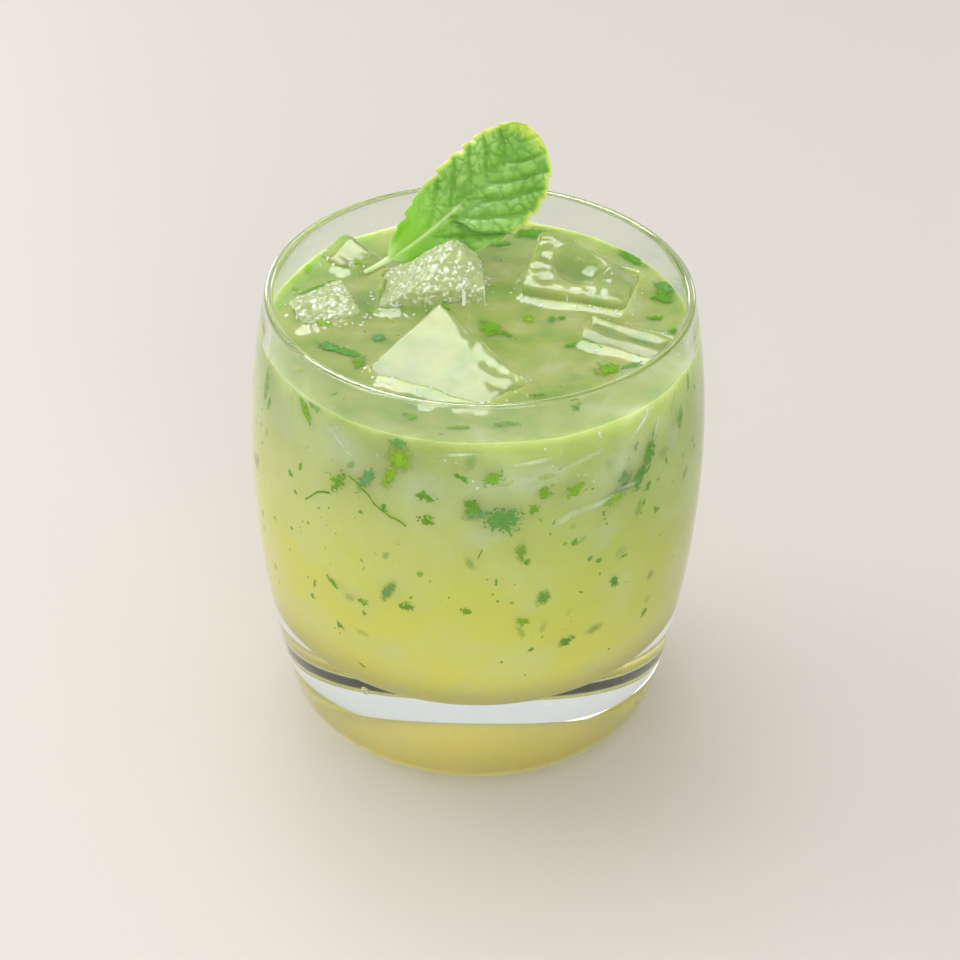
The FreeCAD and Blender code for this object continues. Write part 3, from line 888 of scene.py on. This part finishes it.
# The wide soft scraps are pale patches of sunk ice; the thin ones are painted highlights along its edges.
for az, z, length, width, turn, soft, strength in (
        (12, 77, 17, 5.0, 4, 1.0, 0.36), (38, 76, 8, 7.0, 40, 1.0, 0.38), (-36, 79, 11, 7.0, -30, 1.0, 0.30),
        (-14, 75, 9, 6.0, 0, 1.0, 0.28), (30, 69, 13, 1.4, 6, 0.8, 0.55), (22, 68, 6, 1.1, 24, 0.8, 0.5),
        (40, 70.5, 5, 1.0, -4, 0.8, 0.5), (51, 79, 5, 0.9, 60, 0.7, 0.5), (45, 81.5, 5, 1.0, 35, 0.6, 0.6),
        (-4, 82.5, 8, 0.8, 3, 0.6, 0.6), (13, 80.5, 7, 0.9, 4, 0.7, 0.5), (-37, 80, 7, 1.0, -35, 0.7, 0.4),
        (26, 79, 9, 1.0, 12, 0.8, 0.35), (58, 74, 5, 4.0, 70, 1.0, 0.35), (-58, 76, 7, 6.0, 60, 1.0, 0.25),
        (2, 66, 9, 4.0, 10, 1.0, 0.22), (33, 62, 8, 5.0, 60, 1.0, 0.25)):
    wall_scrap(pale, az, z * MM, length * MM, width * MM, turn, 0.5, soft, strength)
for _ in range(PATCHES_AROUND):
    wall_scrap(pale, rng.uniform(75, 285), rng.uniform(62, 82) * MM, rng.uniform(4, 12) * MM,
               rng.uniform(2, 6) * MM, rng.uniform(-40, 60), 0.5, 1.0, rng.uniform(0.15, 0.4))

# Fine bubbles that gather round the ice, and cling to the glass near the surface, each drawn as a painted
# white glint.
for _ in range(ICE_BUBBLE_GLINTS):
    r, a = drink_r * math.sqrt(rng.random()), rng.uniform(0, 2 * math.pi)
    x, y = r * math.cos(a), r * math.sin(a)
    size = FADE_ROOM * rng.uniform(0.25, 0.8) * MM
    if wet_edges.find((x, y, 0))[2] < BUBBLE_REACH and not in_ice(x, y):
        add_scrap(pale, lambda dx, dy: on_surface(x + dx, y + dy), size, size * rng.uniform(0.4, 1),
                  rng.uniform(0, math.pi), 0.5, 0.2, rng.uniform(0.5, 1))
for _ in range(WALL_BUBBLE_GLINTS):
    size = rng.uniform(0.25, 0.6) * MM
    wall_scrap(pale, rng.uniform(-180, 180), LEVEL - abs(rng.gauss(0, 5)) * MM, size, size,
               0, 0.5, 0.3, rng.uniform(0.4, 0.9))

# Milky white: pale patches for the sunk ice, and painted highlights for the edge gleams and the bubbles.
sunk = new_material("sunk_ice_and_painted_gleams")
tones = put(sunk, "VertexColor", layer_name="scrap_tones")
split = put(sunk, "SeparateColor", {0: tones})
milk = put(sunk, "BsdfPrincipled", {"Base Color": "#DDE6D0", "Roughness": 0.5, "Specular IOR Level": 0.1})
clear = put(sunk, "BsdfTransparent")
there = torn_mask(sunk, split.outputs[2], tones.outputs["Alpha"], split.outputs[1], 200.0)
show = put(sunk, "MixShader", {0: there, 1: clear, 2: milk})
put(sunk, "OutputMaterial", {"Surface": show})
pile_piece("sunk_ice_and_painted_gleams", pale, sunk)


# Water drop on the outside of the glass.
# Condensation that has run together into one small drop low on the left.

DROP_R = 0.9 * MM
DROP_FLAT = 0.45
drop_a, drop_z = math.radians(-30), 23.7 * MM
outer_r = lower_c[0] + math.sqrt(lower_r ** 2 - (drop_z - BELLY_Z) ** 2)
drop_at = Vector((outer_r * math.sin(drop_a), -outer_r * math.cos(drop_a), drop_z))
out_way = Vector((math.sin(drop_a), -math.cos(drop_a), 0))
dome = [(DROP_R * math.cos(math.radians(t)), DROP_FLAT * DROP_R * math.sin(math.radians(t)))
        for t in range(-20, 91, 10)]
points, faces = lathe([(0, dome[0][1])] + dome[:-1] + [(0, dome[-1][1])], 32)
turn = out_way.to_track_quat("Z", "Y")
water = new_material("clear_water")
wet_skin = put(water, "BsdfPrincipled", {
    "Base Color": "#FFFFFF", "Roughness": 0.0, "IOR": 1.33, "Transmission Weight": 1.0})
clear_body(water, wet_skin, "#F4F8F4")
drop = new_piece("water_drop", [drop_at + turn @ Vector(point) for point in points], faces, [water])
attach(drop, "root")


# Setting.
# A pale matt floor, an even pale sky, three softboxes and three cards that only show as
# reflections in the wet faces and the glass, and the camera.

FLOOR = 8.0
CAMERA_AT = Vector((0.0, -386.0 * MM, 324.5 * MM))
AIM = Vector((0.6 * MM, 0.0, 48.0 * MM))
ROLL = math.radians(1.0)
LENS = 90.0

floor_paint = new_material("pale_floor")
matt = put(floor_paint, "BsdfPrincipled", {"Base Color": "#CFC8BE", "Roughness": 0.6})
put(floor_paint, "OutputMaterial", {"Surface": matt})
floor = new_piece("floor", [(-FLOOR, -FLOOR, 0), (FLOOR, -FLOOR, 0), (FLOOR, FLOOR, 0), (-FLOOR, FLOOR, 0)],
                  [(0, 1, 2, 3)], [floor_paint])

camera_data = bpy.data.cameras.new("camera")
camera_data.lens = LENS
camera_data.sensor_width = 36.0
camera_data.clip_start = 0.01
camera = bpy.data.objects.new("camera", camera_data)
bpy.context.scene.collection.objects.link(camera)
camera.location = CAMERA_AT
turn = (AIM - CAMERA_AT).to_track_quat("-Z", "Y").to_matrix() @ Matrix.Rotation(ROLL, 3, "Z")
camera.rotation_euler = turn.to_euler()
bpy.context.scene.camera = camera


def soft_light(name, away, azimuth, elevation, size, power):
    """Square softbox that looks at the middle of the glass."""
    lamp = bpy.data.lights.new(name, "AREA")
    lamp.shape = "SQUARE"
    lamp.size = size
    lamp.energy = power
    box = bpy.data.objects.new(name, lamp)
    bpy.context.scene.collection.objects.link(box)
    a, e = math.radians(azimuth), math.radians(elevation)
    box.location = AIM + away * Vector((math.sin(a) * math.cos(e), math.cos(a) * math.cos(e), math.sin(e)))
    box.rotation_euler = (AIM - box.location).to_track_quat("-Z", "Y").to_euler()
    return box


soft_light("overhead", 1.2, -20, 70, 0.7, 2.5)
soft_light("left", 1.3, -70, 30, 0.7, 4.0)
soft_light("front", 1.5, 170, 25, 0.9, 9.0)
# A bright card that only shows as a reflection, in the wet faces that tilt to the front.
card = soft_light("card", 1.2, -38, 65, 0.8, 26.0)
card.visible_diffuse = False
card.visible_transmission = False
# Two narrower cards behind the glass draw the bright lines down its left and right edges.
left_card = soft_light("left_card", 1.2, -29, 14, 0.30, 3.0)
right_card = soft_light("right_card", 1.2, 31, 14, 0.2, 1.0)
for side_card in (left_card, right_card):
    side_card.visible_diffuse = False
    side_card.visible_transmission = False

world = bpy.data.worlds.new("studio")
bpy.context.scene.world = world
world.use_nodes = True
world.node_tree.nodes["Background"].inputs[0].default_value = linear("#F1F3F5")
world.node_tree.nodes["Background"].inputs[1].default_value = 0.85
bpy.context.scene.view_settings.view_transform = "Standard"
